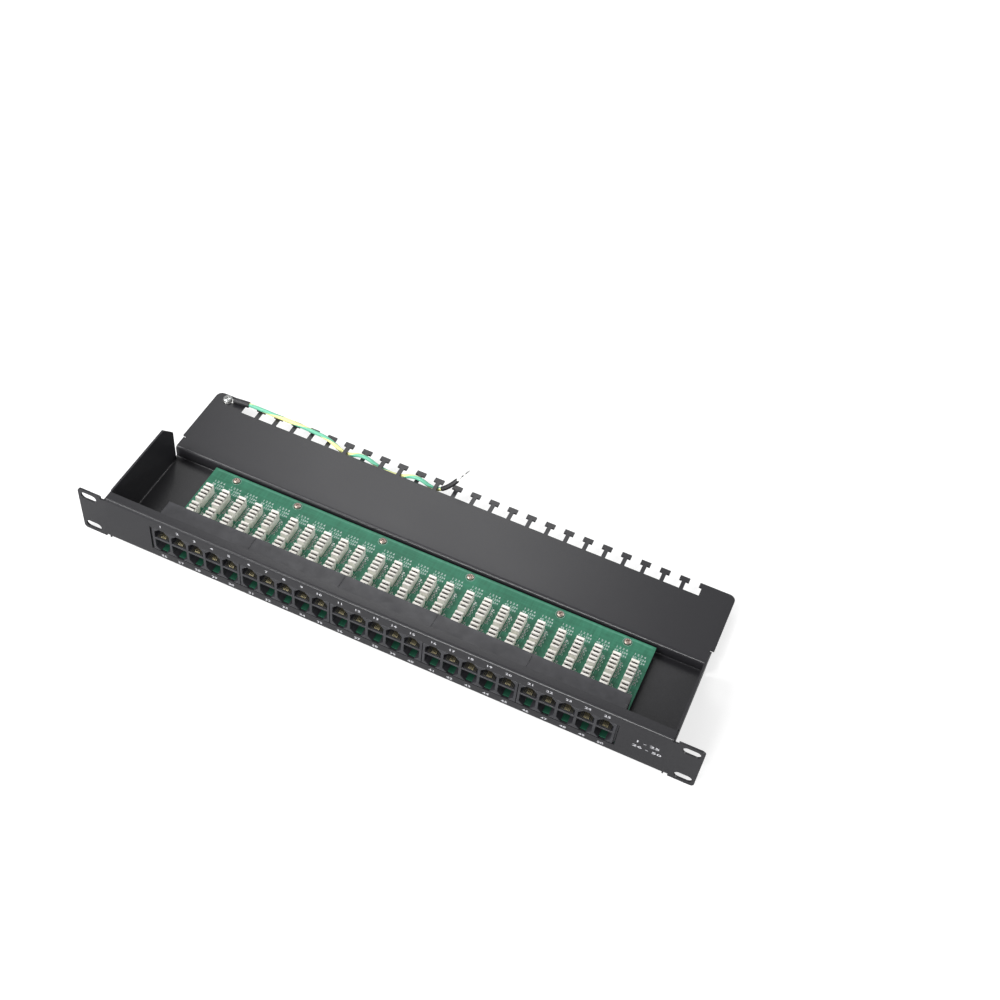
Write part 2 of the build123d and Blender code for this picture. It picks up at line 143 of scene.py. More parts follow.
@dataclass
class Shell:
    """Points and faces of one or more closed surfaces, in millimetres."""

    points: np.ndarray
    faces: list[np.ndarray] = field(default_factory=list)

    @staticmethod
    def along(rings: np.ndarray) -> "Shell":
        """Skin closed rings one after the other and close both ends with a flat face.

        Face (i, j) of the skin joins points j and j + 1 of ring i to the same points of ring
        i + 1. The volume's sign, the sum of a . (b x c) over the fans of all faces, tells
        whether the rings turn the wrong way, and then every face is turned over.

        Args:
            rings: points of shape (rings, points per ring, 3).

        Returns:
            The closed shell with its faces outwards.
        """
        count, size = rings.shape[:2]
        here = np.arange(size)
        after = (here + 1) % size
        rows = np.arange(count - 1)[:, None] * size
        skin = np.stack([rows + here, rows + after, rows + size + after, rows + size + here], -1)
        first = here[::-1][None, :]
        last = (count - 1) * size + here[None, :]
        shell = Shell(rings.reshape(-1, 3), [skin.reshape(-1, 4), first, last])
        return shell if shell.volume() >= 0 else shell.turned_over()

    def volume(self) -> float:
        """Signed volume: the sum over triangle fans of a . (b x c) / 6."""
        total = 0.0
        for faces in self.faces:
            corners = self.points[faces]
            a = corners[:, :1]
            b = corners[:, 1:-1]
            c = corners[:, 2:]
            total += float((a * np.cross(b, c)).sum()) / 6.0
        return total

    def turned_over(self) -> "Shell":
        """The same surface with every face's winding reversed."""
        return Shell(self.points, [faces[:, ::-1] for faces in self.faces])

    def placed(self, turn: np.ndarray, shift: np.ndarray) -> "Shell":
        """Every point p becomes turn p + shift, where turn is a rotation matrix."""
        return Shell(self.points @ np.asarray(turn).T + np.asarray(shift), self.faces)

    def repeated(self, shifts: np.ndarray) -> "Shell":
        """Copies of the shell, one moved by each row of shifts, as whole arrays.

        Args:
            shifts: moves of shape (copies, 3).

        Returns:
            One shell that holds all the copies.
        """
        shifts = np.asarray(shifts, float).reshape(-1, 3)
        points = (self.points[None] + shifts[:, None]).reshape(-1, 3)
        steps = np.arange(len(shifts))[:, None, None] * len(self.points)
        faces = [(f[None] + steps).reshape(-1, f.shape[1]) for f in self.faces]
        return Shell(points, faces)

    @staticmethod
    def merged(shells: list["Shell"]) -> "Shell":
        """One shell that holds a list of them."""
        return Shell(np.zeros((0, 3))).joined(*shells)

    def joined(self, *others: "Shell") -> "Shell":
        """This shell and the others as one, their faces renumbered past the points before them."""
        points = [self.points]
        faces = list(self.faces)
        start = len(self.points)
        for other in others:
            points.append(other.points)
            faces += [f + start for f in other.faces]
            start += len(other.points)
        return Shell(np.concatenate(points), faces)

    def piece(self, name: str, material: Material, sharp: float = 35.0) -> Object:
        """Put the shell into a mesh object at the world origin.

        Args:
            name: name of the piece.
            material: its finish.
            sharp: angle in degrees above which an edge stays sharp under smooth shading.

        Returns:
            The object, riding on the body.
        """
        mesh = bpy.data.meshes.new(name)
        faces = [row.tolist() for block in self.faces for row in block]
        mesh.from_pydata(np.zeros((len(self.points), 3)).tolist(), [], faces)
        mesh.vertices.foreach_set("co", (self.points * MM).astype(np.float32).ravel())
        mesh.polygons.foreach_set("use_smooth", np.ones(len(mesh.polygons), bool))
        mesh.update()
        mesh.set_sharp_from_angle(angle=math.radians(sharp))
        mesh.materials.append(material)
        made = linked(name, mesh)
        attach(made, BODY)
        LOG.info("%s: %d points, %d faces", name, len(mesh.vertices), len(mesh.polygons))
        return made


def cut_corner_ring(half_x: float, half_y: float, cut: float, z: float) -> np.ndarray:
    """A level rectangle with its four corners cut off, as eight points in order.

    Args:
        half_x: half its width.
        half_y: half its depth.
        cut: length that each corner loses along both sides.
        z: height.

    Returns:
        Points of shape (8, 3).
    """
    x, y, c = half_x, half_y, cut
    right = [(x, -y + c), (x, y - c), (x - c, y), (-x + c, y)]
    return np.array([(px, py, z) for px, py in right + [(-px, -py) for px, py in right]])


def circle_ring(radius: float, z: float, sides: int) -> np.ndarray:
    """A level circle: (r cos a, r sin a, z) at equal steps of a."""
    angle = np.arange(sides) * 2.0 * math.pi / sides
    return np.stack([radius * np.cos(angle), radius * np.sin(angle), np.full(sides, z)], -1)


def bar_between(low: Point, high: Point, cut: float) -> Shell:
    """An upright bar between two corners, its long edges and its ends cut by a small slope.

    Args:
        low: lowest corner.
        high: highest corner.
        cut: width of the slopes.

    Returns:
        The closed shell.
    """
    low_corner = np.array(low, float)
    high_corner = np.array(high, float)
    half = (high_corner - low_corner) / 2
    levels = [(-half[2], cut), (-half[2] + cut, 0.0), (half[2] - cut, 0.0), (half[2], cut)]
    rings = np.stack([cut_corner_ring(half[0] - inset, half[1] - inset, cut, z) for z, inset in levels])
    return Shell.along(rings + (low_corner + high_corner) / 2)


def tube_rings(path: np.ndarray, radii: np.ndarray, sides: int) -> np.ndarray:
    """Rings of a round tube that follows a path.

    Each ring stands square to the path's direction there. Its first axis is the one before it
    less its part along the new direction, so the rings don't turn about the path.

    Args:
        path: points of shape (n, 3).
        radii: radius at each point, shape (n,).
        sides: points on each ring.

    Returns:
        Rings of shape (n, sides, 3).
    """
    along = directions(path)
    axis = np.cross(along[0], (0.0, 0.0, 1.0))
    first = np.empty_like(path)
    for i, direction in enumerate(along):
        axis = axis - direction * (axis @ direction)
        axis = axis / np.linalg.norm(axis)
        first[i] = axis
    second = np.cross(along, first)
    angle = np.arange(sides) * 2.0 * math.pi / sides
    spokes = first[:, None] * np.cos(angle)[None, :, None] + second[:, None] * np.sin(angle)[None, :, None]
    return path[:, None] + spokes * radii[:, None, None]


class NodeSheet:
    """A material's nodes, with short calls for the few kinds used here."""

    def __init__(self, name: str) -> None:
        """Start a material with a shader, its output and Object coordinates."""
        self.material = bpy.data.materials.new(name)
        self.material.use_nodes = True
        self.tree = self.material.node_tree
        self.shader = self.tree.nodes["Principled BSDF"]
        self.place = self.node("TexCoord")

    def feed(self, slot: Socket, value: object) -> None:
        """Link a socket into a slot, or set the slot to a plain value."""
        if isinstance(value, Socket):
            self.tree.links.new(value, slot)
        else:
            slot.default_value = value

    def node(self, kind: str, **inputs: object) -> bpy.types.ShaderNode:
        """A node with its inputs fed by name, underscores standing for spaces."""
        made = self.tree.nodes.new("ShaderNode" + kind)
        for name, value in inputs.items():
            self.feed(made.inputs[name.replace("_", " ")], value)
        return made

    def set(self, **values: object) -> None:
        """Set plain values on the shader's own sockets, underscores standing for spaces."""
        for name, value in values.items():
            self.feed(self.shader.inputs[name.replace("_", " ")], value)

    def noise(self, scale: float, detail: float = 2.0, stretch: Point = (1.0, 1.0, 1.0)) -> Socket:
        """Noise on Object coordinates: scale is in waves per metre, stretch multiplies it per axis."""
        turn = self.node("Mapping", Vector=self.place.outputs["Object"], Scale=stretch)
        return self.node("TexNoise", Vector=turn.outputs["Vector"], Scale=scale, Detail=detail).outputs["Fac"]

    def ranged(
        self, source: Socket, low: float, high: float, start: float = 0.3, end: float = 0.7
    ) -> Socket:
        """Map source from start..end to low..high, without going past them."""
        bounds = {"From_Min": start, "From_Max": end, "To_Min": low, "To_Max": high}
        return self.node("MapRange", Value=source, **bounds).outputs["Result"]

    def math(self, kind: str, left: object, right: object) -> Socket:
        """One arithmetic step between two sockets or numbers."""
        step = self.node("Math")
        step.operation = kind
        for slot, value in zip(step.inputs, (left, right)):
            self.feed(slot, value)
        return step.outputs[0]

    def mixed(self, share: Socket, first: Point | Socket, second: Point) -> Socket:
        """A colour between first, which may be another node's, and second by a share from 0 to 1."""
        mix = self.node("Mix")
        mix.data_type = "RGBA"
        self.feed(mix.inputs["A"], first if isinstance(first, Socket) else (*first, 1.0))
        self.feed(mix.inputs["B"], (*second, 1.0))
        self.feed(mix.inputs["Factor"], share)
        return mix.outputs["Result"]

    def parted(self, kind: str) -> bpy.types.bpy_prop_collection:
        """The X, Y and Z of the surface's Object or UV coordinates."""
        return self.node("SeparateXYZ", Vector=self.place.outputs[kind]).outputs

    def paint(self, socket: Socket, name: str = "Base Color") -> None:
        """Link a socket to one of the shader's inputs."""
        self.feed(self.shader.inputs[name], socket)

    def bumped(self, height: Socket, strength: float, depth: float) -> None:
        """Raise the surface by a height map: depth is in metres at full height."""
        bump = self.node("Bump", Strength=strength, Distance=depth, Height=height)
        self.paint(bump.outputs["Normal"], "Normal")


@dataclass(frozen=True)
class Finish:
    """What every finish has: its name and the two colours that it varies between."""

    name: str
    dark: Point
    light: Point

    def material(self) -> Material:
        """The finish as a Blender material."""
        sheet = NodeSheet(self.name)
        self.dress(sheet)
        return sheet.material

    def dress(self, sheet: NodeSheet) -> None:
        """Lay the finish on a sheet of nodes."""
        raise NotImplementedError


@dataclass(frozen=True)
class PowderCoat(Finish):
    """Baked powder paint: a fine orange peel with soft patches of gloss."""

    def dress(self, sheet: NodeSheet) -> None:
        """Fine speckle in the colour, slow faint patches in the gloss, orange peel in the surface."""
        speckle = sheet.noise(2600.0, 3.0)
        sheet.paint(sheet.mixed(sheet.ranged(speckle, 0.0, 1.0), self.dark, self.light))
        patches = sheet.noise(16.0, 1.0)
        sheet.paint(sheet.ranged(patches, 0.27, 0.33, 0.0, 1.0), "Roughness")
        peel = sheet.math("ADD", sheet.noise(1500.0, 2.0), sheet.math("MULTIPLY", speckle, 0.5))
        sheet.bumped(peel, 0.35, 0.00006)
        sheet.set(Specular_IOR_Level=0.38)


@dataclass(frozen=True)
class Moulding(Finish):
    """Moulded plastic with faint flow marks and a fine spark-eroded texture."""

    gloss: float = 0.4
    grain: float = 0.00002

    def dress(self, sheet: NodeSheet) -> None:
        """Cloudy colour, a gloss that varies slightly and a fine grain."""
        sheet.paint(sheet.mixed(sheet.ranged(sheet.noise(160.0, 4.0), 0.0, 1.0), self.dark, self.light))
        sheet.paint(sheet.ranged(sheet.noise(90.0, 2.0), self.gloss - 0.05, self.gloss + 0.07), "Roughness")
        sheet.bumped(sheet.noise(4200.0, 2.0), 0.25, self.grain)


@dataclass(frozen=True)
class SolderMask(Finish):
    """Green solder mask over glass cloth: the weave shows faintly through the lacquer."""

    def dress(self, sheet: NodeSheet) -> None:
        """Slow clouds and the crossed weave of the cloth, and painted shade under the housings.

        The painted shade's share of dark grows with Y, and goes back to none behind the housings.
        """
        warp = sheet.noise(700.0, 1.0, (1.0, 0.12, 1.0))
        weft = sheet.noise(700.0, 1.0, (0.12, 1.0, 1.0))
        cloth = sheet.math("MULTIPLY", sheet.math("ADD", warp, weft), 0.5)
        slow = sheet.math("MULTIPLY", sheet.noise(14.0), 0.4)
        clouds = sheet.math("ADD", sheet.math("MULTIPLY", cloth, 0.6), slow)
        lit = sheet.mixed(sheet.ranged(clouds, 0.0, 1.0, 0.38, 0.62), self.dark, self.light)
        rear = sheet.parted("Object")["Y"]
        # painted shade: the board and the tracks on it darken under the socket housings, more with Y, and not
        # behind them
        painted_shade_ramp = sheet.ranged(rear, 0.8, 0.97, 0.001, 0.008)
        under = sheet.math("MULTIPLY", painted_shade_ramp, sheet.ranged(rear, 1.0, 0.0, 0.019, 0.027))
        sheet.paint(sheet.mixed(under, lit, tuple(0.3 * part for part in self.dark)))
        sheet.paint(sheet.ranged(cloth, 0.4, 0.52), "Roughness")
        sheet.bumped(cloth, 0.2, 0.00003)
        sheet.set(Specular_IOR_Level=0.3)


@dataclass(frozen=True)
class Metal(Finish):
    """Plated metal with faint drawn lines along one axis."""

    roughness: float = 0.3
    drawn: Point = (1.0, 1.0, 1.0)

    def dress(self, sheet: NodeSheet) -> None:
        """Stretched noise for the lines in colour, gloss and surface."""
        lines = sheet.noise(1800.0, 3.0, self.drawn)
        sheet.paint(sheet.mixed(sheet.ranged(lines, 0.0, 1.0), self.dark, self.light))
        gloss = sheet.ranged(sheet.noise(500.0), self.roughness - 0.06, self.roughness + 0.1)
        sheet.paint(gloss, "Roughness")
        sheet.bumped(lines, 0.15, 0.00001)
        sheet.set(Metallic=1.0)


@dataclass(frozen=True)
class Ink(Finish):
    """Screen-printed ink, slightly thin in places."""

    def dress(self, sheet: NodeSheet) -> None:
        """A pale colour that thins to a darker one in small spots."""
        spots = sheet.ranged(sheet.noise(1900.0, 3.0), 0.0, 1.0, 0.25, 0.45)
        sheet.paint(sheet.mixed(spots, self.dark, self.light))
        sheet.paint(sheet.ranged(sheet.noise(600.0), 0.5, 0.65), "Roughness")


@dataclass(frozen=True)
class StripedSheath(Finish):
    """Two-colour earth wire: dark is the ground colour and light the stripe that winds round it."""

    turn_length: float = 0.0505
    start: float = 0.45

    def dress(self, sheet: NodeSheet) -> None:
        """The stripe is where cos(angle round the wire + turns along it) is high, by the wire's UV map."""
        uv = sheet.parted("UV")
        turns = sheet.math("MULTIPLY", uv["Y"], 1.0 / self.turn_length)
        angle = sheet.math("ADD", sheet.math("ADD", uv["X"], turns), self.start)
        wave = sheet.math("COSINE", sheet.math("MULTIPLY", angle, 2.0 * math.pi), 0.0)
        stripe = sheet.ranged(wave, 0.0, 1.0, -0.06, 0.06)
        sheet.paint(sheet.mixed(stripe, self.dark, self.light))
        sheet.paint(sheet.ranged(sheet.noise(900.0), 0.32, 0.45), "Roughness")
        sheet.bumped(sheet.noise(2400.0), 0.2, 0.00002)


def materials(*finishes: Finish) -> list[Material]:
    """The materials of several finishes, in order."""
    return [finish.material() for finish in finishes]


class Finishes:
    """Every finish of the panel, made once."""

    def __init__(self) -> None:
        """Make the materials."""
        self.coat, self.mask, self.track = materials(
            PowderCoat("black_powder_coat", (0.018, 0.018, 0.0205), (0.031, 0.0305, 0.034)),
            SolderMask("green_solder_mask", (0.024, 0.146, 0.084), (0.046, 0.225, 0.138)),
            SolderMask("mask_over_copper", (0.055, 0.205, 0.135), (0.085, 0.290, 0.200)),
        )
        self.housing, self.comb, self.block, self.shrink = materials(
            Moulding("black_socket_plastic", (0.026, 0.026, 0.030), (0.042, 0.042, 0.048), 0.38),
            Moulding("olive_comb_plastic", (0.050, 0.047, 0.034), (0.085, 0.080, 0.058), 0.5),
            Moulding("ivory_block_plastic", (0.84, 0.81, 0.74), (0.95, 0.93, 0.88), 0.36),
            Moulding("black_sleeve", (0.014, 0.014, 0.016), (0.026, 0.026, 0.029), 0.46, 0.00004),
        )
        self.gold, self.blade, self.brass = materials(
            # the gilt contacts' colour is darkened to gold in shade inside the sockets: painted shade
            Metal("gilt_spring_contact_painted_shade", (0.19, 0.165, 0.095), (0.32, 0.28, 0.17), 0.5, (1, 8, 8)),
            # the slit contacts' near-black colour is partly painted shade of the deep narrow slots; the dark
            # discs in the pads' holes use it too
            Metal("dark_slit_contact_painted_shade", (0.07, 0.065, 0.06), (0.16, 0.15, 0.14), 0.42, (8, 8, 1)),
            Metal("brass_post", (0.55, 0.42, 0.20), (0.72, 0.57, 0.30), 0.32, (8, 8, 1)),
        )
        self.copper_screw, self.zinc, self.tin = materials(
            Metal("copper_flashed_screw", (0.40, 0.32, 0.28), (0.60, 0.50, 0.44), 0.42),
            Metal("bright_zinc", (0.55, 0.56, 0.56), (0.80, 0.81, 0.80), 0.26),
            Metal("tinned_lug", (0.50, 0.50, 0.49), (0.70, 0.70, 0.68), 0.36, (1, 6, 6)),
        )
        self.wire, self.face_ink, self.board_ink = materials(
            StripedSheath("green_yellow_sheath", (0.17, 0.56, 0.38), (0.90, 0.92, 0.38)),
            Ink("pale_face_ink", (0.38, 0.38, 0.40), (0.58, 0.58, 0.61)),
            Ink("white_board_ink", (0.25, 0.40, 0.35), (0.50, 0.62, 0.58)),
        )


def eased_copy(
    node: str, name: str, material: Material, width: float, segments: int = 2
) -> Object:
    """Stand a copy of a CAD node in its place, its loose triangles joined and its edges eased.

    The copy's points are merged and its flat faces made whole, and a Bevel modifier rounds only
    the edges that turn by more than half a right angle, so bends and bores keep their form.

    Args:
        node: the CAD node that the copy replaces.
        name: name of the piece.
        material: its finish.
        width: width of the eased edge in metres.
        segments: faces across it.

    Returns:
        The new piece.
    """
    mesh = bpy.data.objects[node].data.copy()
    mesh.name = name
    shape = bmesh.new()
    shape.from_mesh(mesh)
    bmesh.ops.remove_doubles(shape, verts=shape.verts, dist=2e-6)
    bmesh.ops.dissolve_limit(shape, angle_limit=math.radians(0.6), verts=shape.verts, edges=shape.edges)
    shape.to_mesh(mesh)
    shape.free()
    mesh.materials.clear()
    mesh.materials.append(material)
    mesh.polygons.foreach_set("use_smooth", np.ones(len(mesh.polygons), bool))
    mesh.set_sharp_from_angle(angle=math.radians(40))
    made = linked(name, mesh)
    bevel = made.modifiers.new("eased_edges", "BEVEL")
    bevel.width = width
    bevel.segments = segments
    bevel.limit_method = "ANGLE"
    bevel.angle_limit = math.radians(45)
    bevel.use_clamp_overlap = True
    bevel.harden_normals = True
    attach(made, BODY)
    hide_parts(node)
    LOG.info("%s: eased copy of %s, %d faces", name, node, len(mesh.polygons))
    return made


def meshed(curve: bpy.types.Curve) -> tuple[np.ndarray, list[np.ndarray]]:
    """The points and faces that a curve makes; the curve is removed."""
    holder = bpy.data.objects.new("holder", curve)
    mesh = bpy.data.meshes.new_from_object(holder)
    points = read(mesh.vertices, "co", float, 3)
    faces = [np.array([list(f.vertices)]) for f in mesh.polygons]
    bpy.data.objects.remove(holder)
    bpy.data.curves.remove(curve)
    bpy.data.meshes.remove(mesh)
    return points.reshape(-1, 3), faces


def lettering(
    words: str, height: float, middle: Point, facing: Facing, widen: float = 1.2
) -> Shell:
    """Flat figures centred on a point: the letter outlines scaled to a height, then turned to face out.

    Args:
        words: the figures.
        height: their height in millimetres.
        middle: the centre of the line, in millimetres.
        facing: the side that they are read from.
        widen: how much wider than the plain face they are.

    Returns:
        An open flat shell with its faces outwards.
    """
    curve = bpy.data.curves.new("figures", "FONT")
    curve.body = words
    curve.align_x = "CENTER"
    curve.align_y = "CENTER"
    curve.space_character = 1.08
    curve.offset = 0.025
    curve.resolution_u = 3
    points, faces = meshed(curve)
    low, high = points.min(0), points.max(0)
    points = (points - (low + high) / 2) * (height / (high[1] - low[1])) * (widen, 1.0, 1.0)
    # figures drawn in XY read from +Z; turned about X they read from -Y
    turn = np.eye(3) if facing is Facing.TOP else np.array([[1, 0, 0], [0, 0, -1], [0, 1, 0]])
    return Shell(points, faces).placed(turn, middle)


@dataclass
class Chassis:
    """The folded sheet with its printed numbers."""

    print_lift: float = 0.03
    digit_height: float = 2.5
    upper_z: float = 17.0
    lower_z: float = -16.8
    range_x: float = 204.0
    range_height: float = 2.7

    def build(self, finishes: Finishes) -> None:
        """Dress the sheet and print the socket numbers on its face."""
        eased_copy("chassis", "folded_sheet", finishes.coat, 0.22 * MM)
        y = FACE_FRONT - self.print_lift
        marks = []
        for number, x in enumerate(PORT_CENTRES.ravel(), start=1):
            for words, z in ((str(number), self.upper_z), (str(number + 25), self.lower_z)):
                marks.append(lettering(words, self.digit_height, (x, y, z), Facing.FRONT, 1.35))
        for words, z in (("1 - 25", 3.6), ("26 - 50", -2.4)):
            marks.append(lettering(words, self.range_height, (self.range_x, y, z), Facing.FRONT, 1.9))
        Shell.merged(marks).piece("face_numbers", finishes.face_ink)


@dataclass
class CircuitBoard:
    """The green board with its copper tracks, white print, posts and screws."""

    front: float = 23.0
    rear: float = 86.9
    half: float = 181.7
    screw_xs: tuple[float, ...] = (-161.0, -108.3, -36.1, 36.1, 108.3, 161.0)
    screw_y: float = 81.8
    block_rear: float = 63.8
    block_front: float = 27.2
    block_half: float = 3.1
    line: float = 0.16
    ink_lift: float = 0.03
    copper_lift: float = 0.015

    def build(self, finishes: Finishes) -> None:
        """Dress the board and add what is printed and fixed on it."""
        eased_copy("circuit_board", "green_board", finishes.mask, 0.12 * MM, 1)
        eased_copy("board_standoffs", "board_posts", finishes.brass, 0.25 * MM)
        self.tracks().piece("copper_tracks", finishes.track)
        self.printed().piece("board_print", finishes.board_ink)
        self.pads(0.66, 0.02).piece("pad_rings", finishes.tin)
        # dark discs over the pads' middles: painted shade of the holes
        self.pads(0.42, 0.04).piece("pad_hole_painted_shade", finishes.blade)
        self.screws(finishes)

    def pads(self, radius: float, lift: float) -> Shell:
        """Two low discs beside each way of every block, on the column's right side.

        Args:
            radius: its radius.
            lift: height of its top over the board.

        Returns:
            All the discs as one shell.
        """
        levels = (BOARD_TOP - 0.1, BOARD_TOP + lift)
        disc = Shell.along(np.stack([circle_ring(radius, z, 14) for z in levels]))
        ys = [y + shift for y in self.way_ys() for shift in (0.0, 1.7)]
        xs = np.tile([1.45, 1.95], 8) + self.block_half
        shifts = [(x + dx, y, 0.0) for x in PORT_CENTRES.ravel() for dx, y in zip(xs, ys)]
        return disc.repeated(np.array(shifts))

    def way_ys(self) -> list[float]:
        """Where the ways of a column's two blocks lie, four of one block and then four of the other."""
        return [start + FIRST_WAY + way * WAY_PITCH for start in BLOCK_STARTS for way in range(WAYS)]

    def ribbon(self, points: list[tuple[float, float]], width: float, z: float) -> Shell:
        """A flat strip that follows points in plan, its sides square to the mean of the runs there.

        Args:
            points: the strip's middle line.
            width: its width.
            z: its height.

        Returns:
            An open flat shell that faces up.
        """
        line = np.array(points, float)
        along = directions(line)
        side = np.stack([-along[:, 1], along[:, 0]], -1) * width / 2
        left = np.column_stack([line + side, np.full(len(line), z)])
        right = np.column_stack([line - side, np.full(len(line), z)])
        here = np.arange(len(line) - 1)
        total = len(line)
        quads = np.stack([here, total + here, total + here + 1, here + 1], -1)
        return Shell(np.concatenate([left, right]), [quads])

    def tracks(self) -> Shell:
        """Copper under the mask: from each socket's pins, round the column, to the blocks' slots."""
        z = BOARD_TOP + self.copper_lift
        ribbons = []
        for lane in range(4):
            out = 4.15 + lane * 0.62
            turn_y = 30.0 + lane * 4.1
            left = [(-1.5 + lane, self.front), (-out, self.front + 3.0)]
            left += [(-out, turn_y), (-3.1, turn_y + 1.0)]
            right = [(1.5 - lane * 0.3, self.front), (out, self.front + 2.4)]
            right += [(out, turn_y + 20.0), (3.1, turn_y + 21.0)]
            ribbons += [self.ribbon(left, 0.34, z), self.ribbon(right, 0.34, z)]
        rail = self.ribbon([(-self.half + 2.5, self.rear - 1.6), (self.half - 2.5, self.rear - 1.6)], 1.1, z)
        return Shell.merged(ribbons).repeated(along_x(PORT_CENTRES.ravel())).joined(rail)

    def frame(self, x0: float, x1: float, y0: float, y1: float) -> Shell:
        """A printed rectangle: four strips along its sides."""
        z = BOARD_TOP + self.ink_lift
        sides = [
            [(x0, y0), (x1, y0)],
            [(x0, y1), (x1, y1)],
            [(x0, y0), (x0, y1)],
            [(x1, y0), (x1, y1)],
        ]
        return Shell.merged([self.ribbon(side, self.line * 1.4, z) for side in sides])

    def printed(self) -> Shell:
        """White print: a frame round each column, its way numbers, rows behind it, and screw rings."""
        z = BOARD_TOP + self.ink_lift
        side = self.block_half + 0.7
        single = self.frame(-side, side, self.block_front + 1, self.block_rear + 0.9)
        for i, y in enumerate(self.way_ys()):
            place = (self.block_half + 3.2, y, z)
            single = single.joined(lettering(str(i % WAYS + 1), 1.5, place, Facing.TOP))
        marks = [single.repeated(along_x(PORT_CENTRES.ravel()))]
        for number, x in enumerate(PORT_CENTRES.ravel(), start=1):
            rows = (f"{number:02d} 1234", f"{number + 25} 1234", "1 2 3 4")
            for y, words in zip((69.0, 71.9, 74.8), rows):
                marks.append(lettering(words, 1.9, (x + 1.2, y, z), Facing.TOP, 1.15))
        ring = np.stack([circle_ring(3.3, z, 40), circle_ring(3.5, z, 40)])
        here = np.arange(40)
        quads = np.stack([here, 40 + here, 40 + (here + 1) % 40, (here + 1) % 40], -1)
        rings = Shell(ring.reshape(-1, 3), [quads])
        places = np.array([(x, self.screw_y, 0.0) for x in self.screw_xs])
        return Shell.merged([*marks, rings.repeated(places)])

    def screws(self, finishes: Finishes) -> None:
        """Pan-head screws with a cross recess, their shanks down through the board."""
        head = ScrewForm(head_r=2.7, head_height=1.9, shank_r=1.42, shank_length=1.6)
        places = [(x, self.screw_y, BOARD_TOP) for x in self.screw_xs]
        turns = [0.3, 1.1, 0.7, 0.15, 0.9, 0.5]
        parts = [head.shell(turn).placed(np.eye(3), place) for turn, place in zip(turns, places)]
        made = Shell.merged(parts).piece("board_screw_heads", finishes.copper_screw, 50)
        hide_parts("board_screws")


@dataclass
class ScrewForm:
    """A pan-head screw that stands on its seat at height 0, with a cross recess and a plain or cut shank."""

    head_r: float
    head_height: float
    shank_r: float
    shank_length: float
    pitch: float = 0.0
    recess_half: float = 0.42
    recess_share: float = 0.6
    recess_depth: float = 1.1
    sides: int = 48

    def head(self) -> np.ndarray:
        """Rings from the rim to the crown.

        The crown is a dome, height h (1 - 0.45 (r / R)^3.2), less the recess: its depth times an
        ease across each arm of the cross and an ease at the arms' ends.

        Returns:
            Rings of shape (n, sides, 3).
        """
        shares = np.concatenate([np.linspace(1.0, 0.62, 7), np.linspace(0.58, 0.03, 16)])
        angle = np.arange(self.sides) * 2.0 * math.pi / self.sides
        x = self.head_r * shares[:, None] * np.cos(angle)
        y = self.head_r * shares[:, None] * np.sin(angle)
        dome = self.head_height * (1.0 - 0.45 * shares[:, None] ** 3.2)
        across = np.minimum(np.abs(x), np.abs(y))
        reach = np.maximum(np.abs(x), np.abs(y))
        arm_end = self.head_r * self.recess_share
        cut = smooth_step(-self.recess_half - 0.1, -self.recess_half + 0.1, -across)
        cut = cut * smooth_step(-arm_end, -arm_end + 0.45, -reach)
        return np.stack([x, y, dome - self.recess_depth * cut], -1)

    def shank(self) -> np.ndarray:
        """Rings down the shank. A cut one has radius R less a triangle wave of (z / pitch - angle / 2 pi)."""
        steps = 2 if self.pitch == 0 else int(self.shank_length / self.pitch * 6) + 1
        z = np.linspace(-self.shank_length, 0.0, steps)[:, None]
        angle = np.arange(self.sides) * 2.0 * math.pi / self.sides
        radius = np.full((steps, self.sides), self.shank_r)
        if self.pitch > 0:
            phase = (z / self.pitch - angle / (2.0 * math.pi)) % 1.0
            fade = smooth_step(0.0, 0.5, z + self.shank_length) * smooth_step(0.0, 0.4, -z)
            radius = self.shank_r - 0.32 * self.pitch * fade * np.abs(2.0 * phase - 1.0)
        return np.stack([radius * np.cos(angle), radius * np.sin(angle), z + 0.0 * angle], -1)

    def shell(self, turn: float) -> Shell:
        """The whole screw, turned about its axis by an angle in radians."""
        rim_levels = ((self.head_r - 0.1, 0.0), (self.head_r, 0.12))
        rim = np.stack([circle_ring(radius, z, self.sides) for radius, z in rim_levels])
        rings = np.concatenate([self.shank(), rim, self.head()])
        c, s = math.cos(turn), math.sin(turn)
        return Shell.along(rings).placed(np.array([[c, -s, 0], [s, c, 0], [0, 0, 1]]), np.zeros(3))


